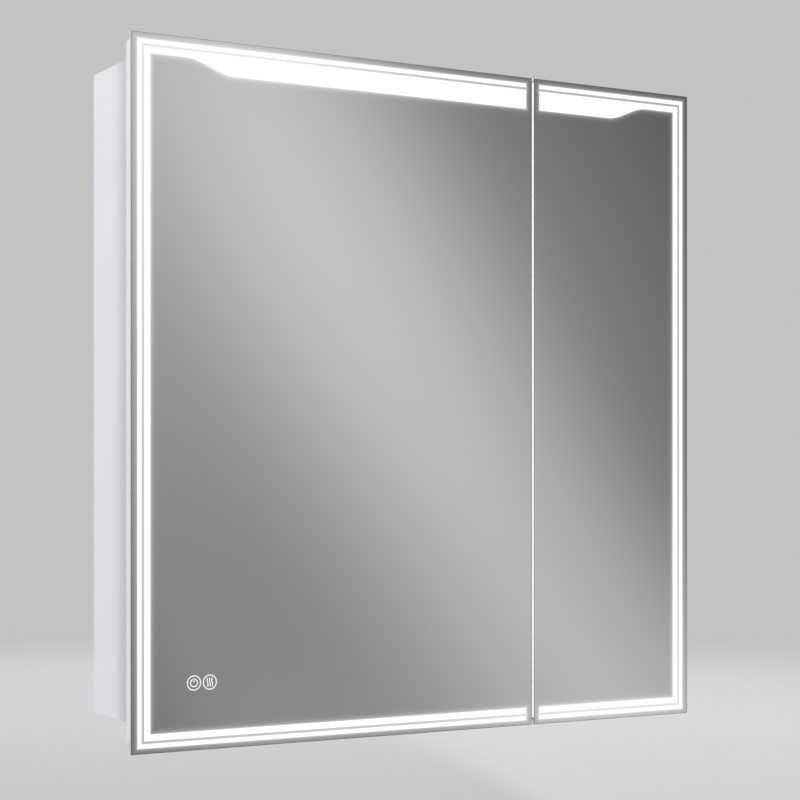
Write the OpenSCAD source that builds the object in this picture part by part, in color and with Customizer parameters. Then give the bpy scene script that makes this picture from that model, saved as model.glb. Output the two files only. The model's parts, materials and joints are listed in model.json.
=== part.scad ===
// Wall-hung medicine cabinet with two lit mirror doors, in millimetres.
// +Z is up, the doors face -Y and the wall is the plane y = 0.
// The origin is the centre of the cabinet body's back face.

/* [Cabinet body] */
// Width of the body over its side panels
body_w = 750; // [600:1:900]
// Height of the body
body_h = 737; // [640:1:900]
// Depth of the body, from the wall to its front edges
body_d = 107; // [96:1:160]
// Thickness of the side, top, bottom and divider panels
panel_t = 15; // [13:0.5:18]
// Thickness of the back panel
back_t = 6; // [4:0.5:8]
// Width of the rebate that the back panel sits in
rebate_w = 7.5; // [6:0.5:9]
// Height of the hanging battens inside the back
batten_h = 40; // [30:1:55]
// Thickness of the hanging battens
batten_t = 12; // [9:0.5:16]

/* [Doors] */
// Distance of the line between the doors from the middle of the cabinet
split_x = 144; // [100:1:160]
// Gap between the two mirror panes
split_gap = 3.2; // [3:0.1:5]
// Gap between the door frames and the body's front edges
door_gap = 3; // [2.8:0.1:5]
// How far the panes reach past the sides of the body
overhang_side = 6; // [4:0.5:9]
// How far the panes reach above the body
overhang_top = 25; // [12:1:40]
// How far the panes hang below the body, as a finger pull
overhang_bottom = 32; // [20:1:45]
// Thickness of the mirror panes
glass_t = 3; // [3:0.5:6]

/* [Door frames] */
// Depth of the door frames behind the panes
frame_d = 20; // [18:0.5:26]
// Wall thickness of the frame profile
frame_wall = 1.5; // [1.2:0.1:2]
// How far the frames stand back from the sides of the panes
frame_inset = 3.5; // [2:0.5:4]
// How far the frames stand back from the top of the panes
frame_inset_top = 0.5; // [0.5:0.5:4]
// How far the frames stand back from the bottom of the panes
frame_inset_bottom = 4; // [2:0.5:9]
// Radius of the frame's corners on the hinge side
frame_r = 10.5; // [5:0.5:20]
// Length of each side of the moulded corner pieces
corner_l = 42; // [40:1:50]
// Length of the spigots that join the corner pieces to the profiles
spigot_l = 20; // [12:1:30]
// Play round each spigot
spigot_fit = 0.1; // [0.05:0.05:0.3]
// Thickness of the lip that covers the right pane's free edge
lip_t = 2.2; // [0.6:0.1:2.2]
// How much shorter than the frame that lip is at each end
lip_trim = 4.7; // [0.5:0.1:6]
// Width of the ledge that the back cover sits on
ledge_w = 6; // [5:0.5:9]
// Thickness of the back covers
cover_t = 2; // [1.5:0.5:3]
// Depth of the back covers below the frame's back face
cover_recess = 2; // [1.5:0.5:3]
// Play round the edge of the back covers
cover_fit = 0.2; // [0.1:0.1:0.5]

/* [Light strips] */
// Distance of the outer strip from the sides of the glass
strip_side = 7.6; // [7:0.1:12]
// Distance of the outer strip from the top of the glass
strip_top = 7; // [6:0.1:12]
// Distance of the outer strip from the bottom of the glass
strip_bottom = 6; // [5:0.1:12]
// Distance of the strip ends from the panes' meeting edges
strip_end = 7.9; // [6:0.1:14]
// Width of the outer strip
outer_strip_w = 5; // [3:0.1:7]
// Width of the mirror line between the two strips
line_w = 2.9; // [2:0.1:5]
// Width of the inner strip
inner_strip_w = 7.4; // [5:0.1:10]
// How much wider the inner strip is along the middle of the top
wave_drop = 16.2; // [8:0.1:22]
// Distance of the wave from the glass's side edge
wave_start = 66; // [40:1:80]
// Length of the wave
wave_l = 58; // [40:1:70]
// Depth of the strips in the glass
strip_t = 1; // [0.6:0.1:1.5]

/* [Light chamber] */
// Thickness of the light guides
guide_t = 3; // [2:0.5:4]
// Thickness of the white reflectors behind the light guides
reflector_t = 1; // [0.5:0.5:2]
// Width of the light guides, from the side of the glass
guide_w = 46; // [43:1:60]
// Width of the space for the light-emitting strip at the frame's wall
led_space = 1.5; // [1.4:0.1:2.5]
// Thickness of the flexible circuit strip
led_board_t = 0.8; // [0.5:0.1:1]
// Height of each light-emitting chip above its circuit strip
chip_t = 0.5; // [0.3:0.1:0.6]
// Side length of each light-emitting chip
chip_w = 2.6; // [2:0.1:3]
// Distance from one light-emitting chip to the next
chip_pitch = 25; // [12:1:50]

/* [Touch control and demister] */
// Distance of the first touch symbol from the side of the glass
icon_side = 74.8; // [60:0.1:100]
// Distance of the touch symbols from the bottom of the glass
icon_up = 75.2; // [65:0.1:110]
// Distance between the two touch symbols
icon_pitch = 19.2; // [18:0.1:30]
// Outer radius of each symbol's ring
icon_r = 8.5; // [6:0.1:8.8]
// Line width of the symbols
icon_line = 1.1; // [0.6:0.1:1.4]
// Depth of the symbols in the glass
icon_t = 0.4; // [0.2:0.1:0.6]
// Width of the touch sensor's housing
sensor_w = 52; // [46:1:70]
// Height of the touch sensor's housing
sensor_h = 24; // [20:1:30]
// Depth of the touch sensor's housing
sensor_d = 6; // [4:0.5:9]
// Width of the demister pad
pad_w = 260; // [150:5:300]
// Height of the demister pad
pad_h = 400; // [200:5:480]
// Thickness of the demister pad
pad_t = 0.6; // [0.4:0.1:1]

/* [Hinges] */
// Radius of the hinge pins
pin_r = 2; // [1.5:0.1:2.4]
// Running clearance round the hinge pins
pin_fit = 0.05; // [0.02:0.01:0.1]
// Radius of the eye at the end of each hinge arm
eye_r = 3.9; // [3.4:0.1:4.2]
// Clearance between the eye and the side of its cup
eye_gap = 0.25; // [0.2:0.05:0.5]
// Clearance between the eye and the frame wall in front of it
eye_front_gap = 0.6; // [0.4:0.1:1]
// Thickness of the hinge arms
arm_t = 4; // [3:0.5:4.5]
// Height of the hinge arms
arm_h = 12; // [8:0.5:16]
// Clearance above and below the hinge arms
arm_gap = 0.3; // [0.2:0.1:0.5]
// Clearance beside the arm in its cup
arm_side_gap = 2; // [1.5:0.5:3]
// Wall thickness of the hinge cups
cup_wall = 1.35; // [1.2:0.05:2]
// Height of each cheek of the hinge cups
cheek_h = 8; // [6:0.5:12]
// Thickness of the flange on each cup
flange_t = 1.2; // [1:0.1:1.6]
// How far the flange reaches past the cup at each end
flange_end = 8; // [7:0.5:12]
// Width of the profile left beside each cup
cup_land = 1.5; // [1:0.5:4]
// Distance of the outer hinges from the ends of the body
hinge_end = 78.5; // [70:0.5:110]
// Thickness of the mounting plates under the hinge arms
plate_t = 6.5; // [5:0.5:9]
// Distance of the mounting plates from the body's front edge
plate_setback = 17; // [12:1:24]
// Length of the mounting plates
plate_l = 36; // [32:1:44]
// Height of the mounting plates
plate_h = 16; // [13:1:22]
// Height of the mounting plates over their wings
wing_h = 48; // [42:1:60]
// Width of the wings
wing_w = 14; // [11:1:18]
// Thickness of the wings
wing_t = 2; // [1.5:0.5:3]
// Thickness of the rubber bumpers' clearance to the body
bumper_gap = 0.3; // [0.2:0.1:0.6]
// Radius of the rubber bumpers
bumper_r = 3.5; // [2.5:0.5:4]

/* [Shelves] */
// Height of the lower shelves above the middle of the body
shelf_low = -185; // [-230:1:-140]
// Height of the middle shelves above the middle of the body
shelf_mid = -45; // [-60:1:-40]
// Height of the upper shelves above the middle of the body
shelf_high = 125; // [90:1:150]
// Thickness of the glass shelves
shelf_t = 5; // [4:0.5:8]
// Distance of the shelves from the back panel
shelf_back_gap = 2; // [1:0.5:6]
// Distance of the shelves from the body's front edges
shelf_front_gap = 8; // [5:1:20]
// Distance of the shelves' ends from the panels
shelf_end_gap = 0.8; // [0.5:0.1:2]
// Radius of the shelf pins
peg_r = 2.5; // [2:0.5:3]
// Depth of the shelf pin holes
peg_l = 6; // [5:0.5:6]
// Distance of the shelf pins from the shelf's front and back edges
peg_edge = 14; // [9:1:20]
// Distance from one shelf pin hole to the next above it
peg_pitch = 25; // [20:1:32]
// Length of the tongue that carries the shelf
tongue_l = 9; // [6:0.5:12]
// Width of the tongue that carries the shelf
tongue_w = 7; // [6:0.5:9]
// Height of the tongue that carries the shelf
tongue_h = 3.5; // [2:0.5:5]

/* [Power supply] */
// Width of the driver cover
housing_w = 280; // [260:5:290]
// Height of the driver cover
housing_h = 74; // [60:1:80]
// Depth of the driver cover
housing_d = 36; // [32:1:46]
// Wall thickness of the driver cover
housing_wall = 2; // [1.5:0.5:2.5]
// Gap between the driver cover's ear and the divider
housing_side_gap = 4.5; // [2:0.5:20]
// Gap between the driver cover and the upper batten
housing_gap = 4; // [2:1:10]
// Width of the driver
driver_w = 150; // [110:5:160]
// Height of the driver
driver_h = 34; // [25:1:40]
// Depth of the driver
driver_d = 22; // [15:1:28]
// Radius of the bore for the mains cable
cable_r = 5; // [3.5:0.5:6]
// Radius of the grommet's body in the back panel
grommet_r = 9; // [8:0.5:11]
// Radius of the grommet's flange
grommet_flange_r = 12.5; // [12:0.5:14]
// Thickness of the grommet's flange
grommet_flange_t = 2; // [1.5:0.5:3]
// Height of the cable trunking
trunk_h = 12; // [9:1:16]
// Depth of the cable trunking
trunk_d = 10; // [8:1:12]
// Wall thickness of the cable trunking
trunk_wall = 1.2; // [1:0.1:1.6]
// Radius of the low-voltage leads
lead_r = 1.6; // [1.2:0.1:2]

/* [Fasteners] */
// Distance of the wall screw holes from the middle of the cabinet
wall_hole_x = 300; // [270:5:310]
// Radius of the wall screw holes
wall_hole_r = 3; // [2.5:0.5:4]
// Radius of the steel washers at the wall screw holes
washer_r = 12; // [9:0.5:14]
// Thickness of the steel washers
washer_t = 2; // [1:0.5:3]
// Radius of the wooden dowels
dowel_r = 4; // [3:0.5:4]
// Depth of the dowels in the panel that they stand on
dowel_in = 9; // [6:0.5:10]
// Length of the dowels in the panel that they fix
dowel_out = 20; // [15:1:25]
// Radius of the cam locks
cam_r = 7.5; // [6:0.5:8]
// Material left under each cam lock
cam_skin = 2.5; // [2:0.5:4]
// Distance of the cam locks from the side panels
cam_in = 26; // [20:1:34]
// Radius of the cam bolts
cam_bolt_r = 2.5; // [2:0.5:3]
// Radius of the small wood screws
screw_r = 1.5; // [1.2:0.1:1.8]
// Length of the back panel's screws
back_screw_l = 18; // [14:1:24]
// Radius of the hinge plates' screws
euro_r = 2.5; // [2:0.5:3]
// Depth of the hinge plates' screws in the side panels
euro_l = 11; // [8:0.5:11]

/* [Hidden] */
$fn = 48;

// Sides of the cabinet, as the viewer sees them
left = -1;
right = 1;

// Small overlap that keeps a cut from ending on a face
cut = 1;

// Inside of the body
inner_w = body_w - 2 * panel_t;
inner_h = body_h - 2 * panel_t;
inner_x = inner_w / 2;
inner_z = inner_h / 2;
batten_y = -back_t - batten_t;
wall_hole_z = inner_z - batten_h / 2;

// Overall size of the closed doors
glass_w = body_w + 2 * overhang_side;
glass_h = body_h + overhang_top + overhang_bottom;
total_d = body_d + door_gap + frame_d + glass_t;

// Depths behind the front of the glass, used in door space
frame_back = glass_t + frame_d;
body_front = frame_back + door_gap;
chamber_d = guide_t + reflector_t;
tube_front = glass_t + chamber_d;
cover_front = frame_back - cover_recess - cover_t;
ledge_front = cover_front - frame_wall;

// Hinge axis in door space
axis_s = frame_inset + frame_wall + cup_wall + eye_gap + eye_r;
axis_d = tube_front + frame_wall + eye_front_gap + eye_r;

// Hinge sizes measured from the axis: u across the door, v towards the wall
side_u = overhang_side + panel_t - axis_s;
arm_u = side_u + plate_t;
plate_v = body_front + plate_setback - axis_d;
arm_end_v = plate_v + plate_l;
screw_v = [plate_v + plate_l / 4, plate_v + plate_l * 3 / 4];
cup_u0 = -eye_r - eye_gap - cup_wall;
slot_u0 = -eye_r - eye_gap;
slot_u1 = arm_u + arm_t + arm_side_gap;
cup_u1 = slot_u1 + cup_wall;
slot_h = arm_h + 2 * arm_gap;
cup_h = slot_h + 2 * cheek_h;
back_v = frame_back - axis_d;
flange_h = cup_h + 2 * flange_end;
cup_screw_in = 7.5;
cup_screw_u = slot_u1 - cup_screw_in;
cup_screw_w = (cup_h + flange_h) / 4;
cup_screw_r = 1.5;
cup_screw_l = 6;
cup_head_r = 2.8;
cup_head_t = 1.2;
wing_screw_in = 7;
wing_screw_w = wing_h / 2 - wing_screw_in;
wing_v = plate_v + plate_l / 2;
arm_screw_r = 2;
arm_head_r = 3.4;
arm_head_t = 2;
arm_cross = [0.9, 4];
euro_head_r = 4.2;
euro_head_t = 1.8;
euro_cross = [1, 5];
cross_depth = 0.8;

// Width of the frame profile, which holds the hinge cups
frame_w = axis_s + cup_u1 + cup_land + frame_wall - frame_inset;

// Screws and lead boss of the back covers
cover_screw_r = 1.25;
cover_screw_l = 6;
cover_head_r = 2.4;
cover_head_t = 1.2;
cover_screw_shares = [0.12, 0.5, 0.88];
boss_r = 5.6;
boss_in = 12;

// Places of the bumpers and the ends of the circuit strips
bumper_in = 60;
bumper_end = 20;
bumper_land = 0.5;
led_end_gap = 4.5;
chip_sink = 0.1;

// Heights of the hinges above the middle of the body
left_hinges = [-body_h / 2 + hinge_end, 0, body_h / 2 - hinge_end];
right_hinges = [-body_h / 2 + hinge_end, body_h / 2 - hinge_end];

// Shelves and their pins
shelves = [shelf_low, shelf_mid, shelf_high];
shelf_y0 = -body_d + shelf_front_gap;
shelf_y1 = -back_t - shelf_back_gap;
pegs_y = [shelf_y0 + peg_edge, shelf_y1 - peg_edge];
peg_down = shelf_t / 2 + tongue_h / 2;
collar_r = 4.5;
collar_t = 1.5;

// Power supply
housing_top = inner_z - batten_h - housing_gap;
housing_z = housing_top - housing_h / 2;
trunk_up = 2;
trunk_setback = 10;
trunk_z = housing_top - housing_h + trunk_up + trunk_h / 2;
trunk_front = -body_d + trunk_setback;
ear_w = 12;
ear_h = 30;
housing_x = split_x - panel_t / 2 - housing_side_gap - ear_w - housing_w / 2;
ear_z = housing_top - ear_h / 2;
ear_screw_x = (housing_w + ear_w) / 2;
ear_screw_l = housing_wall + back_t - 1;
ear_head_r = 2.8;
ear_head_t = 1.4;
grommet_in = 20;
grommet_x = housing_x + housing_w / 2 - grommet_flange_r - grommet_in;
driver_in = 8;
driver_x = housing_x - housing_w / 2 + housing_wall + driver_in + driver_w / 2;
terminal_x = (driver_x + driver_w / 2 + grommet_x - grommet_flange_r) / 2;
terminal_w = 44;
terminal_d = 18;
terminal_h = 22;
terminal_pitch = 12;
terminal_hole_r = 2.2;
terminal_hole_l = 5;
terminal_hole_up = 4;
gland_r = 3.6;
gland_l = 8;
gland_out = 4;
lead_play = 0.4;
lead_in = 8;

// Joints of the panels
dowel_back = 30;
dowel_front = 24;
dowels_y = [-dowel_back, -body_d + dowel_front];
divider_dowels_y = [batten_y - dowel_front, -body_d + dowel_front];
cam_y = (dowels_y[0] + dowels_y[1]) / 2;
cam_slot = [7, 1.6, 3];
back_screw_head_r = 3;
back_screw_head_t = 1.6;
back_rows = 3;
back_row_x = (inner_w + rebate_w) / 2;
back_row_z = (inner_h + rebate_w) / 2;

function pane_w(side) = glass_w / 2 - side * split_x - split_gap / 2;
function frame_free(side) = side < 0 ? pane_w(side) - frame_inset : pane_w(side) + lip_t;
function hinges(side) = side < 0 ? left_hinges : right_hinges;

// Door space: X runs from the glass's hinge-side edge to its free edge,
// Y from the glass's front face towards the wall and Z up from its bottom edge.
module door_space(side) {
    if (side < 0)
        translate([-glass_w / 2, -total_d, -body_h / 2 - overhang_bottom])
            children();
    else
        mirror([1, 0, 0])
            translate([-glass_w / 2, -total_d, -body_h / 2 - overhang_bottom])
                children();
}

// Puts children at each hinge axis of one door, with u on X, v on Y and Z up.
module at_hinges(side) {
    for (z = hinges(side))
        door_space(side)
            translate([axis_s, axis_d, z + body_h / 2 + overhang_bottom])
                children();
}

// Extrudes a drawing of the door's front to a slab at a depth.
module slab(depth, t) {
    translate([0, depth + t, 0])
        rotate([90, 0, 0])
            linear_extrude(t)
                children();
}

// A rectangle from two corners.
module field(x0, x1, z0, z1) {
    translate([x0, z0])
        square([x1 - x0, z1 - z0]);
}

// A box from two corners.
module box(lo, hi) {
    translate(lo)
        cube(hi - lo);
}

// A rod along X, Y or Z from a point.
module rod_x(from, l, r) {
    translate(from)
        rotate([0, 90, 0])
            cylinder(h = l, r = r);
}

module rod_y(from, l, r) {
    translate(from)
        rotate([-90, 0, 0])
            cylinder(h = l, r = r);
}

// ---------------------------------------------------------------- body

module shelf_pin_spots(tops) {
    for (z = tops, step = [-1, 0, 1], y = pegs_y)
        translate([0, y, z - peg_down + step * peg_pitch])
            children();
}

module back_screw_spots() {
    for (i = [0 : back_rows - 1], s = [-1, 1]) {
        share = (i + 0.5) / back_rows - 0.5;
        translate([s * back_row_x, 0, share * inner_h])
            children();
        translate([share * inner_w, 0, s * back_row_z])
            children();
    }
}

module back_screw() {
    rod_y([0, -back_screw_l, 0], back_screw_l, screw_r);
    translate([0, -back_screw_head_t, 0])
        rotate([-90, 0, 0])
            cylinder(h = back_screw_head_t, r1 = screw_r, r2 = back_screw_head_r);
}

module all_back_screws() {
    back_screw_spots()
        back_screw();
}

module side_dowels() {
    for (s = [-1, 1], z = [-1, 1], y = dowels_y)
        rod_x([s * inner_x - (s > 0 ? dowel_out : dowel_in), y, z * (inner_z + panel_t / 2)],
            dowel_in + dowel_out, dowel_r);
}

module divider_dowels() {
    for (z = [-1, 1], y = divider_dowels_y)
        translate([split_x, y, z * inner_z - (z > 0 ? dowel_out : dowel_in)])
            cylinder(h = dowel_in + dowel_out, r = dowel_r);
}

module cam_bolt_rods() {
    for (s = [-1, 1], z = [-1, 1])
        rod_x([s > 0 ? inner_x - cam_in : -inner_x - dowel_in, cam_y, z * (inner_z + panel_t / 2)],
            cam_in + dowel_in, cam_bolt_r);
}

module cam_discs() {
    for (s = [-1, 1], z = [-1, 1])
        translate([s * (inner_x - cam_in), cam_y, z > 0 ? inner_z : -inner_z - panel_t + cam_skin])
            cylinder(h = panel_t - cam_skin, r = cam_r);
}

module side_panel_blank() {
    difference() {
        box([-body_w / 2, -body_d, -body_h / 2], [-inner_x, 0, body_h / 2]);
        box([-inner_x - rebate_w, -back_t, -inner_z - rebate_w],
            [-inner_x + cut, cut, inner_z + rebate_w]);
        translate([-inner_x, 0, 0])
            shelf_pin_spots(shelves)
                rod_x([-peg_l, 0, 0], peg_l + cut, peg_r);
    }
}

module plate_screw_holes(side) {
    at_hinges(side)
        for (w = [-1, 1])
            rod_x([side_u - euro_l, wing_v, w * wing_screw_w], euro_l + cut, euro_r);
}

module left_side_panel() {
    color("white")
        difference() {
            side_panel_blank();
            side_dowels();
            cam_bolt_rods();
            all_back_screws();
            plate_screw_holes(left);
        }
}

module right_side_panel() {
    color("white")
        difference() {
            mirror([1, 0, 0])
                side_panel_blank();
            side_dowels();
            cam_bolt_rods();
            all_back_screws();
            plate_screw_holes(right);
        }
}

module level_panel_blank() {
    difference() {
        box([-inner_x, -body_d, inner_z], [inner_x, 0, body_h / 2]);
        box([-inner_x - cut, -back_t, inner_z - cut], [inner_x + cut, cut, inner_z + rebate_w]);
    }
}

module level_panel_cuts() {
    side_dowels();
    divider_dowels();
    cam_bolt_rods();
    cam_discs();
    all_back_screws();
}

module top_panel() {
    color("white")
        difference() {
            level_panel_blank();
            level_panel_cuts();
        }
}

module bottom_panel() {
    color("white")
        difference() {
            mirror([0, 0, 1])
                level_panel_blank();
            level_panel_cuts();
        }
}

module divider_panel() {
    x0 = split_x - panel_t / 2;
    x1 = split_x + panel_t / 2;
    color("white")
        difference() {
            box([x0, -body_d, -inner_z], [x1, -back_t, inner_z]);
            for (flip = [0, 1])
                mirror([0, 0, flip])
                    box([x0 - cut, batten_y, inner_z - batten_h], [x1 + cut, -back_t + cut, inner_z + cut]);
            box([x0 - cut, -back_t - trunk_d, trunk_z - trunk_h / 2],
                [x1 + cut, -back_t + cut, trunk_z + trunk_h / 2]);
            divider_dowels();
            translate([x0, 0, 0])
                shelf_pin_spots(shelves)
                    rod_x([-cut, 0, 0], peg_l + cut, peg_r);
            translate([x1, 0, 0])
                shelf_pin_spots(shelves)
                    rod_x([-peg_l, 0, 0], peg_l + cut, peg_r);
        }
}

module wall_hole_spots() {
    for (x = [-1, 1], z = [-1, 1])
        translate([x * wall_hole_x, 0, z * wall_hole_z])
            children();
}

module wall_holes() {
    wall_hole_spots()
        rod_y([0, batten_y - washer_t - cut, 0], back_t + batten_t + washer_t + 2 * cut, wall_hole_r);
}

module back_panel() {
    color("whitesmoke")
        difference() {
            box([-inner_x - rebate_w, -back_t, -inner_z - rebate_w],
                [inner_x + rebate_w, 0, inner_z + rebate_w]);
            wall_holes();
            all_back_screws();
            rod_y([grommet_x, -back_t - cut, housing_z], back_t + 2 * cut, grommet_r);
            ear_screw_rods();
        }
}

module batten(s) {
    difference() {
        box([-inner_x, batten_y, s * wall_hole_z - batten_h / 2],
            [inner_x, -back_t, s * wall_hole_z + batten_h / 2]);
        wall_holes();
    }
}

module upper_batten() {
    color("whitesmoke")
        batten(1);
}

module lower_batten() {
    color("whitesmoke")
        batten(-1);
}

module mount_washers() {
    color("silver")
        difference() {
            wall_hole_spots()
                rod_y([0, batten_y - washer_t, 0], washer_t, washer_r);
            wall_holes();
        }
}

module back_screws() {
    color("silver")
        all_back_screws();
}

module panel_dowels() {
    color("burlywood") {
        side_dowels();
        divider_dowels();
    }
}

module cam_locks() {
    color("silver")
        difference() {
            cam_discs();
            cam_bolt_rods();
            for (s = [-1, 1], z = [-1, 1])
                translate([s * (inner_x - cam_in), cam_y, z * inner_z])
                    for (turn = [45, 135])
                        rotate([0, 0, turn])
                            cube(cam_slot, center = true);
        }
}

module cam_bolts() {
    color("silver")
        cam_bolt_rods();
}

// ------------------------------------------------------------- shelves

module shelf_set(x0, x1) {
    for (z = shelves)
        box([x0 + shelf_end_gap, shelf_y0, z - shelf_t / 2],
            [x1 - shelf_end_gap, shelf_y1, z + shelf_t / 2]);
}

module left_shelves() {
    color("lightcyan", 0.5)
        shelf_set(-inner_x, split_x - panel_t / 2);
}

module right_shelves() {
    color("lightcyan", 0.5)
        shelf_set(split_x + panel_t / 2, inner_x);
}

// A shelf pin that stands out of a panel in the direction out, 1 or -1 along X.
module shelf_pin(out) {
    mirror([out < 0 ? 1 : 0, 0, 0]) {
        rod_x([-peg_l, 0, 0], peg_l + collar_t / 2, peg_r);
        intersection() {
            rod_x([0, 0, 0], collar_t, collar_r);
            box([-cut, -collar_r, -collar_r], [collar_t + cut, collar_r, tongue_h / 2]);
        }
        box([collar_t / 2, -tongue_w / 2, -tongue_h / 2], [tongue_l, tongue_w / 2, tongue_h / 2]);
    }
}

module shelf_pins() {
    color("silver")
        for (z = shelves, y = pegs_y)
            translate([0, y, z - peg_down]) {
                translate([-inner_x, 0, 0])
                    shelf_pin(1);
                translate([split_x - panel_t / 2, 0, 0])
                    shelf_pin(-1);
                translate([split_x + panel_t / 2, 0, 0])
                    shelf_pin(1);
                translate([inner_x, 0, 0])
                    shelf_pin(-1);
            }
}

// -------------------------------------------------------------- hinges

module hinge_plate() {
    difference() {
        union() {
            box([side_u, plate_v, -plate_h / 2], [arm_u, arm_end_v, plate_h / 2]);
            box([side_u, wing_v - wing_w / 2, -wing_h / 2],
                [side_u + wing_t, wing_v + wing_w / 2, wing_h / 2]);
        }
        for (w = [-1, 1])
            rod_x([side_u - cut, wing_v, w * wing_screw_w], wing_t + 2 * cut, euro_r);
        for (v = screw_v)
            rod_x([side_u + wing_t, v, 0], plate_t, arm_screw_r);
    }
}

module both_sides_hinges() {
    at_hinges(left)
        children();
    at_hinges(right)
        children();
}

module hinge_plates() {
    color("silver")
        both_sides_hinges()
            hinge_plate();
}

// A screw along X whose head stands on the plane x = 0, with a cross recess.
module cross_screw(l, r, head_t, head_r, cross) {
    difference() {
        union() {
            rod_x([-l, 0, 0], l, r);
            rod_x([0, 0, 0], head_t, head_r);
        }
        translate([head_t, 0, 0]) {
            cube([2 * cross_depth, cross[0], cross[1]], center = true);
            cube([2 * cross_depth, cross[1], cross[0]], center = true);
        }
    }
}

module plate_screws() {
    color("silver")
        both_sides_hinges()
            for (w = [-1, 1])
                translate([side_u + wing_t, wing_v, w * wing_screw_w])
                    cross_screw(euro_l + wing_t, euro_r, euro_head_t, euro_head_r, euro_cross);
}

// A gooseneck arm: an eye on the pin, a short leg across and a long leg into the cabinet.
module hinge_arm() {
    difference() {
        translate([0, 0, -arm_h / 2])
            linear_extrude(arm_h)
                difference() {
                    union() {
                        circle(eye_r);
                        translate([0, -arm_t / 2])
                            square([arm_u + arm_t / 2, arm_t]);
                        translate([arm_u + arm_t / 2, 0])
                            circle(arm_t / 2);
                        translate([arm_u, 0])
                            square([arm_t, arm_end_v]);
                    }
                    circle(pin_r);
                }
        for (v = screw_v)
            rod_x([arm_u - cut, v, 0], arm_t + 2 * cut, arm_screw_r);
    }
}

module hinge_arms() {
    color("silver")
        both_sides_hinges()
            hinge_arm();
}

module arm_screws() {
    color("silver")
        both_sides_hinges()
            for (v = screw_v)
                translate([arm_u + arm_t, v, 0])
                    cross_screw(plate_t - wing_t + arm_t, arm_screw_r, arm_head_t, arm_head_r, arm_cross);
}

module hinge_pins() {
    color("gray")
        both_sides_hinges()
            translate([0, 0, -cup_h / 2 + cup_wall + arm_gap])
                cylinder(h = cup_h - 2 * cup_wall - 2 * arm_gap, r = pin_r);
}

// A cup with a slot for the arm between two cheeks that turn on the pin.
module hinge_cup() {
    difference() {
        union() {
            box([cup_u0, tube_front + frame_wall - axis_d, -cup_h / 2], [cup_u1, back_v, cup_h / 2]);
            box([cup_u0, back_v, -flange_h / 2],
                [frame_inset + frame_w - axis_s, back_v + flange_t, flange_h / 2]);
        }
        box([slot_u0, -axis_d, -slot_h / 2], [slot_u1, body_front, slot_h / 2]);
        translate([0, 0, -cup_h / 2 + cup_wall])
            cylinder(h = cup_h - 2 * cup_wall, r = pin_r + pin_fit);
        for (w = [-1, 1])
            rod_y([cup_screw_u, back_v - cut, w * cup_screw_w], flange_t + 2 * cut, cup_screw_r);
    }
}

module left_hinge_cups() {
    color("silver")
        at_hinges(left)
            hinge_cup();
}

module right_hinge_cups() {
    color("silver")
        at_hinges(right)
            hinge_cup();
}

// ---------------------------------------------------------- door frames

// The frame's outer outline, drawn in by a distance. Only the hinge-side corners are round.
module frame_outline(side, inward) {
    r = frame_r - inward;
    x0 = frame_inset + inward;
    x1 = frame_free(side) - inward;
    z0 = frame_inset_bottom + inward;
    z1 = glass_h - frame_inset_top - inward;
    field(x0 + r, x1, z0, z1);
    field(x0, x0 + 2 * r, z0 + r, z1 - r);
    for (z = [z0 + r, z1 - r])
        translate([x0 + r, z])
            circle(r);
}

// A rectangle at an even distance inside the frame's outline.
module frame_field(side, inward) {
    field(frame_inset + inward, frame_free(side) - inward,
        frame_inset_bottom + inward, glass_h - frame_inset_top - inward);
}

module frame_ring(side) {
    difference() {
        union() {
            slab(glass_t, frame_d)
                difference() {
                    frame_outline(side, 0);
                    frame_field(side, frame_w);
                }
            slab(ledge_front, frame_wall)
                difference() {
                    frame_field(side, frame_w - cut);
                    frame_field(side, frame_w + ledge_w);
                }
            if (side > 0)
                box([pane_w(side), 0, frame_inset_bottom + lip_trim],
                    [pane_w(side) + lip_t, glass_t + cut, glass_h - frame_inset_top - lip_trim]);
        }
        slab(glass_t, chamber_d)
            frame_outline(side, frame_wall);
    }
}

// The hollow of the profile, drawn in by a distance all round.
module frame_hollow(side, inward) {
    slab(tube_front + frame_wall + inward, frame_d - chamber_d - 2 * frame_wall - 2 * inward)
        difference() {
            frame_outline(side, frame_wall + inward);
            frame_field(side, frame_w - frame_wall - inward);
        }
}

// The openings in the profile's back wall for the hinge cups, and their screw holes.
module cup_openings(side) {
    for (z = hinges(side))
        translate([axis_s, axis_d, z + body_h / 2 + overhang_bottom]) {
            box([cup_u0, 0, -cup_h / 2], [cup_u1, back_v + cut, cup_h / 2]);
            for (w = [-1, 1])
                rod_y([cup_screw_u, back_v - frame_wall - cut, w * cup_screw_w],
                    frame_wall + 2 * cut, cup_screw_r);
        }
}

// A band across the whole door between two heights, or two widths.
module level_band(side, z0, z1) {
    box([-cut, -cut, z0], [pane_w(side) + lip_t + cut, body_front, z1]);
}

module upright_band(x0, x1) {
    box([x0, -cut, -cut], [x1, body_front, glass_h + cut]);
}

module frame_stiles(side) {
    difference() {
        intersection() {
            frame_ring(side);
            level_band(side, frame_inset_bottom + corner_l, glass_h - frame_inset_top - corner_l);
        }
        frame_hollow(side, 0);
        cup_openings(side);
        cover_screw_holes(side);
    }
}

module frame_rails(side) {
    difference() {
        intersection() {
            frame_ring(side);
            upright_band(frame_inset + corner_l, frame_free(side) - corner_l);
        }
        frame_hollow(side, 0);
        cover_screw_holes(side);
    }
}

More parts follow.
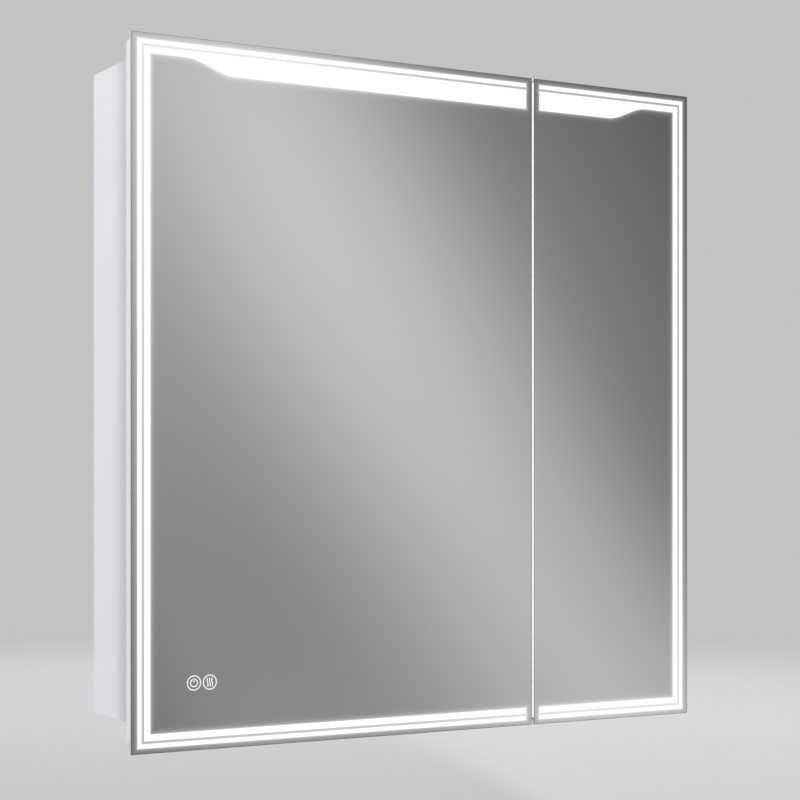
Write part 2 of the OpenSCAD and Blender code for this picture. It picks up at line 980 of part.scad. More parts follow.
module frame_corners(side) {
    x0 = frame_inset + corner_l;
    x1 = frame_free(side) - corner_l;
    z0 = frame_inset_bottom + corner_l;
    z1 = glass_h - frame_inset_top - corner_l;
    difference() {
        frame_ring(side);
        level_band(side, z0, z1);
        upright_band(x0, x1);
    }
    difference() {
        frame_hollow(side, spigot_fit);
        level_band(side, z0 + spigot_l, z1 - spigot_l);
        upright_band(x0 + spigot_l, x1 - spigot_l);
        corner_blocks(x0, x1, z0, z1, side);
    }
}

// The four corner squares of a door.
module corner_blocks(x0, x1, z0, z1, side) {
    difference() {
        box([-cut, 0, -cut], [pane_w(side) + lip_t + cut, body_front, glass_h + cut]);
        level_band(side, z0, z1);
        upright_band(x0, x1);
    }
}

module left_frame_stiles() {
    color("white")
        door_space(left)
            frame_stiles(left);
}

module left_frame_rails() {
    color("white")
        door_space(left)
            frame_rails(left);
}

module left_frame_corners() {
    color("white")
        door_space(left)
            frame_corners(left);
}

module right_frame_stiles() {
    color("white")
        door_space(right)
            frame_stiles(right);
}

module right_frame_rails() {
    color("white")
        door_space(right)
            frame_rails(right);
}

module right_frame_corners() {
    color("white")
        door_space(right)
            frame_corners(right);
}

// --------------------------------------------------------- back covers

// The places of the screws that hold a back cover on its ledge.
module cover_screw_spots(side) {
    inward = frame_w + ledge_w / 2;
    z0 = frame_inset_bottom + inward;
    z1 = glass_h - frame_inset_top - inward;
    for (x = [frame_inset + inward, frame_free(side) - inward], share = cover_screw_shares)
        translate([x, 0, z0 + (z1 - z0) * share])
            children();
}

module cover_screw_holes(side) {
    cover_screw_spots(side)
        rod_y([0, ledge_front - cut, 0], frame_wall + cover_t + 2 * cut, cover_screw_r);
}

module back_cover(side) {
    lead_x = frame_inset + frame_w + ledge_w + boss_in;
    lead_z = trunk_z + body_h / 2 + overhang_bottom;
    difference() {
        union() {
            slab(cover_front, cover_t)
                frame_field(side, frame_w + cover_fit);
            rod_y([lead_x, cover_front, lead_z], cover_t + cover_recess, boss_r);
        }
        rod_y([lead_x, cover_front - cut, lead_z], cover_t + cover_recess + 2 * cut, lead_r + lead_play);
        cover_screw_holes(side);
    }
}

module left_back_cover() {
    color("white")
        door_space(left)
            back_cover(left);
}

module right_back_cover() {
    color("white")
        door_space(right)
            back_cover(right);
}

// The screws of one door: those of its back cover and those of its hinge cups.
module door_screws(side) {
    door_space(side)
        cover_screw_spots(side) {
            rod_y([0, cover_front + cover_t - cover_screw_l, 0], cover_screw_l, cover_screw_r);
            rod_y([0, cover_front + cover_t, 0], cover_head_t, cover_head_r);
        }
    at_hinges(side)
        for (w = [-1, 1])
            translate([cup_screw_u, back_v + flange_t, w * cup_screw_w]) {
                rod_y([0, -cup_screw_l, 0], cup_screw_l, cup_screw_r);
                rod_y([0, 0, 0], cup_head_t, cup_head_r);
            }
}

module left_door_screws() {
    color("silver")
        door_screws(left);
}

module right_door_screws() {
    color("silver")
        door_screws(right);
}

// Rubber bumpers on the frame's back, in front of the top and bottom panels.
module bumpers(side) {
    bottom_z = overhang_bottom + bumper_land + bumper_r;
    top_z = glass_h - overhang_top - panel_t + bumper_land + bumper_r;
    door_space(side)
        for (z = [bottom_z, top_z], x = [bumper_in, frame_free(side) - bumper_end])
            rod_y([x, frame_back, z], door_gap - bumper_gap, bumper_r);
}

module left_bumpers() {
    color("gainsboro")
        bumpers(left);
}

module right_bumpers() {
    color("gainsboro")
        bumpers(right);
}

// ------------------------------------------------------- mirrors, lights

// The outer strip: along the top, the hinge side and the bottom, open at the free edge.
module outer_strip_shape(side) {
    end = pane_w(side) - strip_end;
    difference() {
        field(strip_side, end, strip_bottom, glass_h - strip_top);
        field(strip_side + outer_strip_w, end + cut,
            strip_bottom + outer_strip_w, glass_h - strip_top - outer_strip_w);
    }
}

// The mirror field inside the inner strip, whose top edge falls in one smooth wave.
module mirror_field(side) {
    inward = outer_strip_w + line_w + inner_strip_w;
    x0 = strip_side + inward;
    x1 = pane_w(side) - strip_end + cut;
    z0 = strip_bottom + inward;
    z1 = glass_h - strip_top - inward;
    steps = 16;
    wave = [for (i = [0 : steps])
        [wave_start + wave_l * i / steps, z1 - wave_drop * (1 - cos(180 * i / steps)) / 2]];
    polygon(concat([[x0, z0], [x0, z1]], wave, [[x1, z1 - wave_drop], [x1, z0]]));
}

module inner_strip_shape(side) {
    inward = outer_strip_w + line_w;
    difference() {
        field(strip_side + inward, pane_w(side) - strip_end,
            strip_bottom + inward, glass_h - strip_top - inward);
        mirror_field(side);
    }
}

module outer_strip(side) {
    slab(0, strip_t)
        outer_strip_shape(side);
}

module inner_strip(side) {
    slab(0, strip_t)
        inner_strip_shape(side);
}

module pane(side) {
    difference() {
        box([0, 0, 0], [pane_w(side), glass_t, glass_h]);
        outer_strip(side);
        inner_strip(side);
    }
}

// A flat ring.
module ring(r, line) {
    difference() {
        circle(r);
        circle(r - line);
    }
}

// A power symbol: an open ring and a bar.
module power_symbol() {
    r = icon_r * 0.56;
    difference() {
        ring(r, icon_line);
        field(-icon_line * 1.2, icon_line * 1.2, 0, r + cut);
    }
    field(-icon_line / 2, icon_line / 2, r * 0.15, r + icon_line / 3);
}

// A demister symbol: three upright wavy lines.
module demist_symbol() {
    reach = icon_r * 0.58;
    steps = 12;
    sway = icon_line * 0.55;
    for (x = [-1, 0, 1]) {
        middle = [for (i = [0 : steps])
            [x * icon_r * 0.33 + sway * sin(360 * i / steps), reach * (2 * i / steps - 1)]];
        polygon(concat(
            [for (i = [0 : steps]) middle[i] - [icon_line / 2, 0]],
            [for (i = [steps : -1 : 0]) middle[i] + [icon_line / 2, 0]]));
    }
}

module icon_inlays() {
    door_space(left)
        slab(0, icon_t) {
            translate([icon_side, icon_up]) {
                ring(icon_r, icon_line);
                power_symbol();
            }
            translate([icon_side + icon_pitch, icon_up]) {
                ring(icon_r, icon_line);
                demist_symbol();
            }
        }
}

module left_mirror() {
    color("lightsteelblue")
        difference() {
            door_space(left)
                pane(left);
            icon_inlays();
        }
}

module right_mirror() {
    color("lightsteelblue")
        door_space(right)
            pane(right);
}

module touch_icons() {
    color("white")
        icon_inlays();
}

module left_outer_strip() {
    color("white")
        door_space(left)
            outer_strip(left);
}

module left_inner_strip() {
    color("white")
        door_space(left)
            inner_strip(left);
}

module right_outer_strip() {
    color("white")
        door_space(right)
            outer_strip(right);
}

module right_inner_strip() {
    color("white")
        door_space(right)
            inner_strip(right);
}

// A sheet round the edge of the pane, behind the strips.
module chamber_sheet(side, depth, t) {
    slab(depth, t)
        difference() {
            frame_outline(side, frame_wall + led_space);
            field(guide_w, pane_w(side) - guide_w, guide_w, glass_h - guide_w);
        }
}

module left_light_guide() {
    color("ivory")
        door_space(left)
            chamber_sheet(left, glass_t, guide_t);
}

module right_light_guide() {
    color("ivory")
        door_space(right)
            chamber_sheet(right, glass_t, guide_t);
}

module left_reflector() {
    color("white")
        door_space(left)
            chamber_sheet(left, glass_t + guide_t, reflector_t);
}

module right_reflector() {
    color("white")
        door_space(right)
            chamber_sheet(right, glass_t + guide_t, reflector_t);
}

// A circuit strip of a length along X, lying in the plane z = 0, with chips on top.
module led_board(l) {
    chips = floor((l - chip_w) / chip_pitch);
    first = (l - chips * chip_pitch) / 2;
    cube([l, chamber_d, led_board_t]);
    for (i = [0 : chips])
        translate([first + i * chip_pitch - chip_w / 2, (guide_t - chip_w) / 2, led_board_t - chip_sink])
            cube([chip_w, chip_w, chip_t + chip_sink]);
}

module led_strips(side) {
    x0 = frame_inset + frame_wall;
    z0 = frame_inset_bottom + frame_wall;
    z1 = glass_h - frame_inset_top - frame_wall;
    run_x = frame_free(side) - frame_wall - led_end_gap - frame_inset - frame_r;
    run_z = glass_h - frame_inset_top - frame_inset_bottom - 2 * frame_r;
    door_space(side)
        translate([0, glass_t, 0]) {
            translate([frame_inset + frame_r, 0, z0])
                led_board(run_x);
            translate([frame_inset + frame_r, 0, z1])
                mirror([0, 0, 1])
                    led_board(run_x);
            translate([x0, 0, frame_inset_bottom + frame_r + run_z])
                rotate([0, 90, 0])
                    led_board(run_z);
        }
}

module left_led_strips() {
    color("gold")
        led_strips(left);
}

module right_led_strips() {
    color("gold")
        led_strips(right);
}

module demister_pad() {
    middle_x = pane_w(left) / 2;
    middle_z = glass_h / 2;
    color("orange")
        door_space(left)
            slab(glass_t, pad_t)
                field(middle_x - pad_w / 2, middle_x + pad_w / 2,
                    middle_z - pad_h / 2, middle_z + pad_h / 2);
}

module touch_sensor() {
    middle_x = icon_side + icon_pitch / 2;
    color("dimgray")
        door_space(left)
            slab(glass_t, sensor_d)
                field(middle_x - sensor_w / 2, middle_x + sensor_w / 2,
                    icon_up - sensor_h / 2, icon_up + sensor_h / 2);
}

// -------------------------------------------------------- power supply

module ear_screw_spots() {
    for (s = [-1, 1])
        translate([housing_x + s * ear_screw_x, -back_t - housing_wall, ear_z])
            children();
}

module ear_screw_rods() {
    ear_screw_spots()
        rod_y([0, 0, 0], ear_screw_l, screw_r);
}

module driver_cover() {
    x0 = housing_x - housing_w / 2;
    x1 = housing_x + housing_w / 2;
    z0 = housing_top - housing_h;
    color("white")
        difference() {
            union() {
                box([x0, -back_t - housing_d, z0], [x1, -back_t, housing_top]);
                box([x0 - ear_w, -back_t - housing_wall, ear_z - ear_h / 2],
                    [x1 + ear_w, -back_t, ear_z + ear_h / 2]);
            }
            box([x0 + housing_wall, -back_t - housing_d + housing_wall, z0 + housing_wall],
                [x1 - housing_wall, -back_t + cut, housing_top - housing_wall]);
            ear_screw_rods();
            rod_x([x0 - cut, -back_t - trunk_d / 2, trunk_z], housing_w + 2 * cut, lead_r + lead_play);
        }
}

module housing_screws() {
    color("silver") {
        ear_screw_rods();
        ear_screw_spots()
            rod_y([0, -ear_head_t, 0], ear_head_t, ear_head_r);
    }
}

module led_driver() {
    color("lightgray")
        box([driver_x - driver_w / 2, -back_t - driver_d, housing_z - driver_h / 2],
            [driver_x + driver_w / 2, -back_t, housing_z + driver_h / 2]);
}

module terminal_block() {
    color("ivory")
        difference() {
            box([terminal_x - terminal_w / 2, -back_t - terminal_d, housing_z - terminal_h / 2],
                [terminal_x + terminal_w / 2, -back_t, housing_z + terminal_h / 2]);
            for (i = [-1, 0, 1])
                rod_y([terminal_x + i * terminal_pitch, -back_t - terminal_d - cut,
                    housing_z + terminal_hole_up], terminal_hole_l + cut, terminal_hole_r);
        }
}

module cable_grommet() {
    color("dimgray")
        difference() {
            union() {
                rod_y([grommet_x, -back_t, housing_z], back_t, grommet_r);
                rod_y([grommet_x, -back_t - grommet_flange_t, housing_z],
                    grommet_flange_t, grommet_flange_r);
            }
            rod_y([grommet_x, -back_t - grommet_flange_t - cut, housing_z],
                back_t + grommet_flange_t + 2 * cut, cable_r);
        }
}

// The left run of trunking, from x = -reach along the back panel to the side panel,
// then forward along it.
module trunk_run(reach) {
    y0 = -back_t - trunk_d;
    z0 = trunk_z - trunk_h / 2;
    z1 = trunk_z + trunk_h / 2;
    difference() {
        union() {
            box([-inner_x, y0, z0], [-reach, -back_t, z1]);
            box([-inner_x, trunk_front, z0], [-inner_x + trunk_d, -back_t, z1]);
        }
        box([-inner_x + trunk_wall, y0 + trunk_wall, z0 + trunk_wall],
            [-reach + cut, -back_t - trunk_wall, z1 - trunk_wall]);
        box([-inner_x + trunk_wall, trunk_front - cut, z0 + trunk_wall],
            [-inner_x + trunk_d - trunk_wall, -back_t - trunk_wall, z1 - trunk_wall]);
    }
}

module cable_trunking() {
    color("white") {
        trunk_run(housing_w / 2 - housing_x);
        mirror([1, 0, 0])
            trunk_run(housing_w / 2 + housing_x);
    }
}

// The left lead, from x = -reach through the trunking to the gland at its front end.
module lead_run(reach) {
    x1 = -inner_x + trunk_d / 2;
    y1 = -back_t - trunk_d / 2;
    gland_back = trunk_front + gland_l - gland_out;
    rod_x([x1, y1, trunk_z], -reach - x1, lead_r);
    translate([x1, y1, trunk_z])
        sphere(lead_r);
    rod_y([x1, gland_back, trunk_z], y1 - gland_back, lead_r);
}

module supply_leads() {
    color("dimgray") {
        lead_run(housing_w / 2 - housing_x - lead_in);
        mirror([1, 0, 0])
            lead_run(housing_w / 2 + housing_x - lead_in);
    }
}

module lead_glands() {
    color("gray")
        for (side = [left, right])
            rod_y([side * (inner_x - trunk_d / 2), trunk_front - gland_out, trunk_z], gland_l, gland_r);
}

left_side_panel();
right_side_panel();
top_panel();
bottom_panel();
divider_panel();
back_panel();
upper_batten();
lower_batten();
mount_washers();
back_screws();
panel_dowels();
cam_locks();
cam_bolts();
left_shelves();
right_shelves();
shelf_pins();
hinge_plates();
plate_screws();
hinge_arms();
arm_screws();
hinge_pins();
driver_cover();
housing_screws();
led_driver();
terminal_block();
cable_grommet();
cable_trunking();
supply_leads();
lead_glands();
left_mirror();
left_outer_strip();
left_inner_strip();
touch_icons();
left_light_guide();
left_reflector();
left_led_strips();
demister_pad();
touch_sensor();
left_frame_stiles();
left_frame_rails();
left_frame_corners();
left_back_cover();
left_door_screws();
left_hinge_cups();
left_bumpers();
right_mirror();
right_outer_strip();
right_inner_strip();
right_light_guide();
right_reflector();
right_led_strips();
right_frame_stiles();
right_frame_rails();
right_frame_corners();
right_back_cover();
right_door_screws();
right_hinge_cups();
right_bumpers();
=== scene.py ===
"""Looks of the medicine cabinet with two lit mirror doors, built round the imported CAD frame."""

import json
import math

import bmesh
import bpy
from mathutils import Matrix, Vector


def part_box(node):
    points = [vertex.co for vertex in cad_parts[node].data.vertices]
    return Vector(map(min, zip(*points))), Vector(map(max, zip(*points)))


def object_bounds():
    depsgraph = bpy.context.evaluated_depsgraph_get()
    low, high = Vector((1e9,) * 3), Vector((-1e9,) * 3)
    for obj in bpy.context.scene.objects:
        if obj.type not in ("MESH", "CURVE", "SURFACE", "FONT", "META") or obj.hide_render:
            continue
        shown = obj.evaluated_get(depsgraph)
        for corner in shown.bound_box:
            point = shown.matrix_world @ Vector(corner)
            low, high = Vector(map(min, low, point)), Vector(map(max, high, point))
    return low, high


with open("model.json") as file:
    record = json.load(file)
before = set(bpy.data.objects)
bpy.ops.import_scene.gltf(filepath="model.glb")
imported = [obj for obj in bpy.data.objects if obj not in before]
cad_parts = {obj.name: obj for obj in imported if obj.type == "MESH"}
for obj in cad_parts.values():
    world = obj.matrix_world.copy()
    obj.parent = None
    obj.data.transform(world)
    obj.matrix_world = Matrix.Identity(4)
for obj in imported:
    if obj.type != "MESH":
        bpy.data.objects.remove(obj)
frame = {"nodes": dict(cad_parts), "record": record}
NODES = frame["nodes"]
CAD_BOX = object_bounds()
SLOT_OF = {part["node"]: part["material_slot"] for part in frame["record"]["subparts"]}

# ---------------------------------------------------------------- camera

HEADING = math.radians(29.26)        # the camera looks along +y, turned this far towards +x

camera_data = bpy.data.cameras.new("camera")
camera_data.sensor_width = 36
camera_data.lens = 86.58
camera_data.shift_y = 0.0904
camera_data.clip_start = 0.05
camera_data.clip_end = 60
camera = bpy.data.objects.new("camera", camera_data)
bpy.context.scene.collection.objects.link(camera)
camera.location = (-1.154, -2.116, -0.0905)
camera.rotation_euler = (math.radians(90), 0, -HEADING)
bpy.context.scene.camera = camera
bpy.context.scene.view_settings.view_transform = "Standard"


# ---------------------------------------------------------------- node helpers

class Nodes:
    """Short ways to add shader nodes to one node tree."""

    def __init__(self, tree):
        self.tree = tree
        tree.nodes.clear()

    def add(self, kind, inputs=None, **settings):
        """A new node with its settings, and what goes on its sockets."""
        node = self.tree.nodes.new(kind)
        for name, value in settings.items():
            setattr(node, name, value)
        for key, value in (inputs or {}).items():
            self.put(node.inputs[key], value)
        return node

    def put(self, socket, value):
        """A number or colour goes on the socket; another node's output is linked to it."""
        if isinstance(value, bpy.types.NodeSocket):
            self.tree.links.new(value, socket)
        else:
            socket.default_value = value

    def math(self, operation, a, b=0.0, c=0.0):
        return self.add("ShaderNodeMath", {0: a, 1: b, 2: c}, operation=operation).outputs[0]

    def least(self, first, *rest):
        """The smallest of the values."""
        for value in rest:
            first = self.math("MINIMUM", first, value)
        return first

    def ramp(self, value, low, high, start=0.0, end=1.0, kind="SMOOTHSTEP"):
        """Goes from start to end while value goes from low to high, and holds past both."""
        node = self.add("ShaderNodeMapRange", {0: value, 1: low, 2: high, 3: start, 4: end},
                        interpolation_type=kind)
        return node.outputs[0]

    def mix(self, factor, a, b):
        """Colour a where factor is 0, and b where it is 1."""
        node = self.add("ShaderNodeMix", {0: factor}, data_type="RGBA")
        self.put(node.inputs[6], a)         # 6 and 7 are the sockets of its two colours
        self.put(node.inputs[7], b)
        return node.outputs[2]

    def place(self, scale=(1, 1, 1)):
        """Object coordinates, in metres in the CAD frame at rest, times scale."""
        coord = self.add("ShaderNodeTexCoord")
        mapping = self.add("ShaderNodeMapping", {"Vector": coord.outputs["Object"], "Scale": scale})
        return mapping.outputs[0]

    def xyz(self):
        """Where a point is in the CAD frame at rest, as three sockets."""
        coord = self.add("ShaderNodeTexCoord")
        return self.add("ShaderNodeSeparateXYZ", {0: coord.outputs["Object"]}).outputs

    def facing(self):
        """The surface normal in the piece's own frame, as three sockets."""
        coord = self.add("ShaderNodeTexCoord")
        return self.add("ShaderNodeSeparateXYZ", {0: coord.outputs["Normal"]}).outputs

    def noise(self, size, detail=2.0, scale=(1, 1, 1)):
        """Soft noise whose marks are about size metres across."""
        return self.add("ShaderNodeTexNoise", {"Vector": self.place(scale), "Scale": 1 / size,
                                               "Detail": detail}).outputs[0]

    def cells(self, size, output="Distance", scale=(1, 1, 1)):
        """Cells about size metres across: the distance from a cell's middle, or its colour."""
        return self.add("ShaderNodeTexVoronoi", {"Vector": self.place(scale),
                                                 "Scale": 1 / size}).outputs[output]

    def bump(self, height, depth):
        """Relief depth metres deep from a height of 0 to 1."""
        return self.add("ShaderNodeBump", {"Height": height, "Strength": 1.0,
                                           "Distance": depth}).outputs[0]

    def output(self, shader, kind="ShaderNodeOutputMaterial"):
        """Makes shader what the whole tree gives."""
        self.add(kind, {0: shader})


def shades(n, value, colour, amount, low=0.3, high=0.7):
    """A colour that varies by amount, as a share of itself, with value."""
    dark = tuple(c * (1 - amount) for c in colour) + (1,)
    light = tuple(min(1, c * (1 + amount)) for c in colour) + (1,)
    return n.mix(n.ramp(value, low, high), dark, light)


def material(name, build, **constants):
    """A material whose Principled shader gets constants on its sockets and build()'s links."""
    made = bpy.data.materials.new(name)
    made.use_nodes = True
    n = Nodes(made.node_tree)
    shader = n.add("ShaderNodeBsdfPrincipled")
    for key, value in constants.items():
        shader.inputs[key.replace("_", " ")].default_value = value
    for key, value in build(n).items():
        n.put(shader.inputs[key], value)
    n.output(shader.outputs[0])
    return made


# ---------------------------------------------------------------- materials

BODY_LOW, BODY_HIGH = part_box("left_side_panel")[0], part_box("right_side_panel")[1]
BODY_MIDDLE = (BODY_LOW.z + BODY_HIGH.z) / 2
# painted shade: a grey mixed into the lacquer's outer faces near the doors stands in for the shadow
# of the doors' overhang
PAINTED_SHADE, PAINTED_SHADE_START, PAINTED_SHADE_REACH = 0.44, 0.006, 0.042      # how strong, and where along the depth
PAINTED_SHADE_COLOUR = (0.40, 0.40, 0.415, 1)
SKIN, SKIN_FADE = 0.0006, 0.0004      # the painted shade lies on what is this near the body's outer faces
DRIFT_SIZE = 0.09                     # of the slow changes of shade


def satin(colour, grain, depth, rough, spread=0.012, vary=0.04):
    """A smooth coated surface: a fine grain in relief and gloss, and a slow drift of shade."""
    def build(n):
        fine = n.noise(grain, 3.0)
        drift = n.noise(DRIFT_SIZE, 3.0)
        return {"Base Color": shades(n, drift, colour, spread),
                "Roughness": n.ramp(fine, 0.3, 0.7, rough - vary, rough + vary),
                "Normal": n.bump(fine, depth)}
    return build


def lacquer(n):
    """Satin lacquer, with painted shade that greys its outside faces towards the doors, as the
    doors' overhang would shade them.
    """
    x, y, z = n.xyz()
    outer = n.math("MAXIMUM", n.math("SUBTRACT", n.math("ABSOLUTE", x), BODY_HIGH.x),
                   n.math("SUBTRACT", n.math("ABSOLUTE", n.math("SUBTRACT", z, BODY_MIDDLE)),
                          BODY_HIGH.z - BODY_MIDDLE))
    on_skin = n.ramp(outer, -SKIN - SKIN_FADE, -SKIN, kind="LINEAR")
    # painted shade, strongest at the front edge next to the doors and gone further back
    shade_near_door = n.ramp(y, BODY_LOW.y + PAINTED_SHADE_START, BODY_LOW.y + PAINTED_SHADE_START + PAINTED_SHADE_REACH, PAINTED_SHADE, 0.0)
    made = satin((0.800, 0.812, 0.840), 0.0030, 0.000002, 0.30, vary=0.006)(n)
    made["Base Color"] = n.mix(n.math("MULTIPLY", on_skin, shade_near_door), made["Base Color"],
                               PAINTED_SHADE_COLOUR)
    return made


def metal(colour, rough, patch, tint, streak):
    """Plated metal: patches of crystal shade, tint strong, under fine streaks of wear."""
    def build(n):
        spangle = n.cells(patch, "Color")
        scratch = n.noise(0.004, 4.0, scale=streak)
        tone = n.add("ShaderNodeSeparateColor", {0: spangle}).outputs[0]
        return {"Base Color": shades(n, tone, colour, tint, 0.0, 1.0),
                "Roughness": n.ramp(scratch, 0.3, 0.75, rough * 0.7, rough * 1.4),
                "Normal": n.bump(scratch, 0.00003)}
    return build


def beech(n):
    """Wood whose grain and pores run along x."""
    grain = n.noise(0.0012, 4.0, scale=(0.12, 1, 1))
    pores = n.cells(0.0009, scale=(0.2, 1, 1))
    return {"Base Color": n.mix(n.ramp(grain, 0.3, 0.7), (0.42, 0.25, 0.12, 1),
                                (0.66, 0.46, 0.27, 1)),
            "Roughness": n.ramp(pores, 0.0, 0.6, 0.7, 0.5),
            "Normal": n.bump(grain, 0.00006)}


GROUND_EDGE = 0.40                    # roughness of the shelves' ground edges


def shelf_glass(n):
    """Clear glass with faint smears, green and ground on the faces that aren't level."""
    level = n.math("ABSOLUTE", n.facing()[2])
    edge = n.ramp(level, 0.2, 0.8, 1.0, 0.0)
    smear = n.noise(0.05, 4.0, scale=(1, 0.5, 1))
    return {"Base Color": n.mix(edge, (0.94, 0.985, 0.97, 1), (0.42, 0.72, 0.62, 1)),
            "Roughness": n.math("ADD", n.ramp(smear, 0.35, 0.75, 0.0, 0.03),
                                n.math("MULTIPLY", edge, GROUND_EDGE))}


# Where the lit strips lie on the panes, from the CAD nodes. The strips of both doors run at the
# same distances from the cabinet's side, top and bottom, so one set of distances serves both.
PANE_LOW, PANE_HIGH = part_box("left_mirror")
OUTER_LOW, OUTER_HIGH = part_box("left_outer_strip")
INNER_LOW, INNER_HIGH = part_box("left_inner_strip")
OTHER_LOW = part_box("right_mirror")[0]
GAP_X = (PANE_HIGH.x + OTHER_LOW.x) / 2
HALF_GAP = OTHER_LOW.x - GAP_X
STRIP_END = HALF_GAP + PANE_HIGH.x - OUTER_HIGH.x      # the strips stop this far from GAP_X
OUTER_WIDTH = 0.0050
INNER_WIDTH = 0.0074                  # on the straight runs
WAVE_DROP = 0.0162                    # how much deeper the band is past the wave
WAVE_START, WAVE_LENGTH = 0.066, 0.058
SPILL, SPILL_FADE = 0.34, 0.0020      # painted glow, for light that leaks past the edge of the etching

# the panes: their silver in front, with a darker rim, and their sides, painted paler with depth as a
# painted reflection of the white frame behind the glass
SILVER_COLOUR = (0.86, 0.872, 0.867, 1)
SILVER_FULL, SILVER_GONE = 0.00005, 0.0001
RIM_COLOUR, RIM_WIDTH = (0.42, 0.43, 0.425, 1), 0.0013
SIDE_DARK, SIDE_PAINTED_REFLECTION = (0.15, 0.175, 0.17, 1), (0.78, 0.81, 0.80, 1)
DARK_DEPTH, PALE_DEPTH = 0.0002, 0.0012
LIP_GLOW, LIP_RISE = 0.23, 0.0003     # the painted glow is full LIP_RISE in front of the panes' backs


def inside_of(n, low, high, side, top, bottom, wave=0.0):
    """How far a point lies inside the outer line of a strip, which follows the side, the top and
    the bottom. Past the wave the top of that line is lower by wave."""
    return n.least(n.math("SUBTRACT", side, low.x - PANE_LOW.x),
                   n.math("SUBTRACT", n.math("SUBTRACT", top, PANE_HIGH.z - high.z), wave),
                   n.math("SUBTRACT", bottom, low.z - PANE_LOW.z))


def spill_from(n, within, within_far_edge, past_end):
    """Painted glow on the glass beside one strip, for light that leaks out of it."""
    beside = n.math("MAXIMUM", n.math("MULTIPLY", within, -1.0), within_far_edge)
    beside = n.math("MAXIMUM", beside, 0.0)
    past = n.math("MAXIMUM", past_end, 0.0)
    away = n.math("SQRT", n.math("ADD", n.math("MULTIPLY", beside, beside),
                                 n.math("MULTIPLY", past, past)))
    return n.math("MULTIPLY", n.math("EXPONENT", n.math("DIVIDE", away, -SPILL_FADE)), SPILL)


def mirror(n):
    """Silvered glass: the mirror in front, the clear glass of its sides with a painted reflection of
    the frame behind, and a painted glow for light that leaks.
    """
    x, y, z = n.xyz()
    side = n.math("SUBTRACT", -PANE_LOW.x, n.math("ABSOLUTE", x))
    top = n.math("SUBTRACT", PANE_HIGH.z, z)
    bottom = n.math("SUBTRACT", z, PANE_LOW.z)
    from_gap = n.math("ABSOLUTE", n.math("SUBTRACT", x, GAP_X))
    past_end = n.math("SUBTRACT", STRIP_END, from_gap)
    wave = n.ramp(side, WAVE_START, WAVE_START + WAVE_LENGTH, 0.0, WAVE_DROP)
    outer = inside_of(n, OUTER_LOW, OUTER_HIGH, side, top, bottom)
    inner = inside_of(n, INNER_LOW, INNER_HIGH, side, top, bottom)
    past_wave = inside_of(n, INNER_LOW, INNER_HIGH, side, top, bottom, wave)
    field = n.math("SUBTRACT", past_wave, INNER_WIDTH)
    # painted glow: the mirror itself emits light next to the strips
    glow = n.math("ADD", spill_from(n, outer, n.math("SUBTRACT", outer, OUTER_WIDTH), past_end),
                  spill_from(n, inner, field, past_end))
    front = n.ramp(y, PANE_LOW.y + SILVER_FULL, PANE_LOW.y + SILVER_GONE, 1.0, 0.0, kind="LINEAR")
    haze = n.noise(0.08, 4.0)
    from_edge = n.least(side, top, bottom, n.math("SUBTRACT", from_gap, HALF_GAP))
    silver = n.mix(n.ramp(from_edge, 0.0, RIM_WIDTH), RIM_COLOUR, SILVER_COLOUR)
    # painted reflection: the sides go from dark at the front to pale at the back, standing in for
    # the white frame seen through the glass
    depth = n.ramp(y, PANE_LOW.y + DARK_DEPTH, PANE_LOW.y + PALE_DEPTH)
    return {"Base Color": n.mix(front, n.mix(depth, SIDE_DARK, SIDE_PAINTED_REFLECTION), silver),
            "Metallic": front,
            "Roughness": n.math("ADD", n.ramp(haze, 0.3, 0.8, 0.015, 0.035),
                                n.ramp(front, 0.0, 1.0, 0.12, 0.0)),
            "Emission Strength": n.math("MULTIPLY", glow, front)}


def frame_white(grain, rough, vary):
    """The frames' white. The lip between the panes has a painted glow, for light that leaks from
    their edges.
    """
    def build(n):
        made = satin((0.86, 0.867, 0.883), grain, 0.00001, rough, vary=vary)(n)
        # painted glow: the lip emits light, though it is no lamp
        made["Emission Strength"] = n.ramp(n.xyz()[1], PANE_HIGH.y - LIP_RISE, PANE_HIGH.y,
                                           LIP_GLOW, 0.0)
        return made
    return build


def lit(n):
    """Etched glass lit from behind, with a fine mottle."""
    mottle = n.noise(0.0012, 2.0)
    return {"Emission Color": n.mix(n.ramp(mottle, 0.3, 0.7), (0.965, 0.98, 0.995, 1),
                                    (1, 1, 1, 1)),
            "Roughness": n.ramp(mottle, 0.3, 0.7, 0.5, 0.6),
            "Normal": n.bump(mottle, 0.00002)}


def guide(n):
    """Clear acrylic with printed white dots that let the light out."""
    dots = n.ramp(n.cells(0.0025), 0.1, 0.22, 1.0, 0.0)
    return {"Base Color": n.mix(dots, (0.90, 0.95, 0.94, 1), (1, 1, 1, 1)),
            "Roughness": n.ramp(dots, 0.0, 1.0, 0.08, 0.6)}


def circuit(n):
    """The pale coating of a circuit strip, with its copper pads."""
    weave = n.noise(0.003, 2.0)
    pad = n.ramp(n.cells(0.008), 0.15, 0.2, 1.0, 0.0)
    return {"Base Color": n.mix(pad, (0.86, 0.84, 0.70, 1), (0.95, 0.76, 0.30, 1)),
            "Roughness": n.ramp(weave, 0.3, 0.7, 0.35, 0.5)}


TRACKS_SCALE, TRACKS_WANDER = 40.0, 0.4


def heater(n):
    """Amber film with the level tracks of a heating element in it."""
    line = n.add("ShaderNodeTexWave", {"Vector": n.place(), "Scale": TRACKS_SCALE,
                                       "Distortion": TRACKS_WANDER}, bands_direction="Z").outputs[1]
    return {"Base Color": n.mix(n.ramp(line, 0.45, 0.55), (0.60, 0.36, 0.12, 1),
                                (0.82, 0.62, 0.32, 1)),
            "Roughness": n.ramp(line, 0.3, 0.7, 0.3, 0.45)}


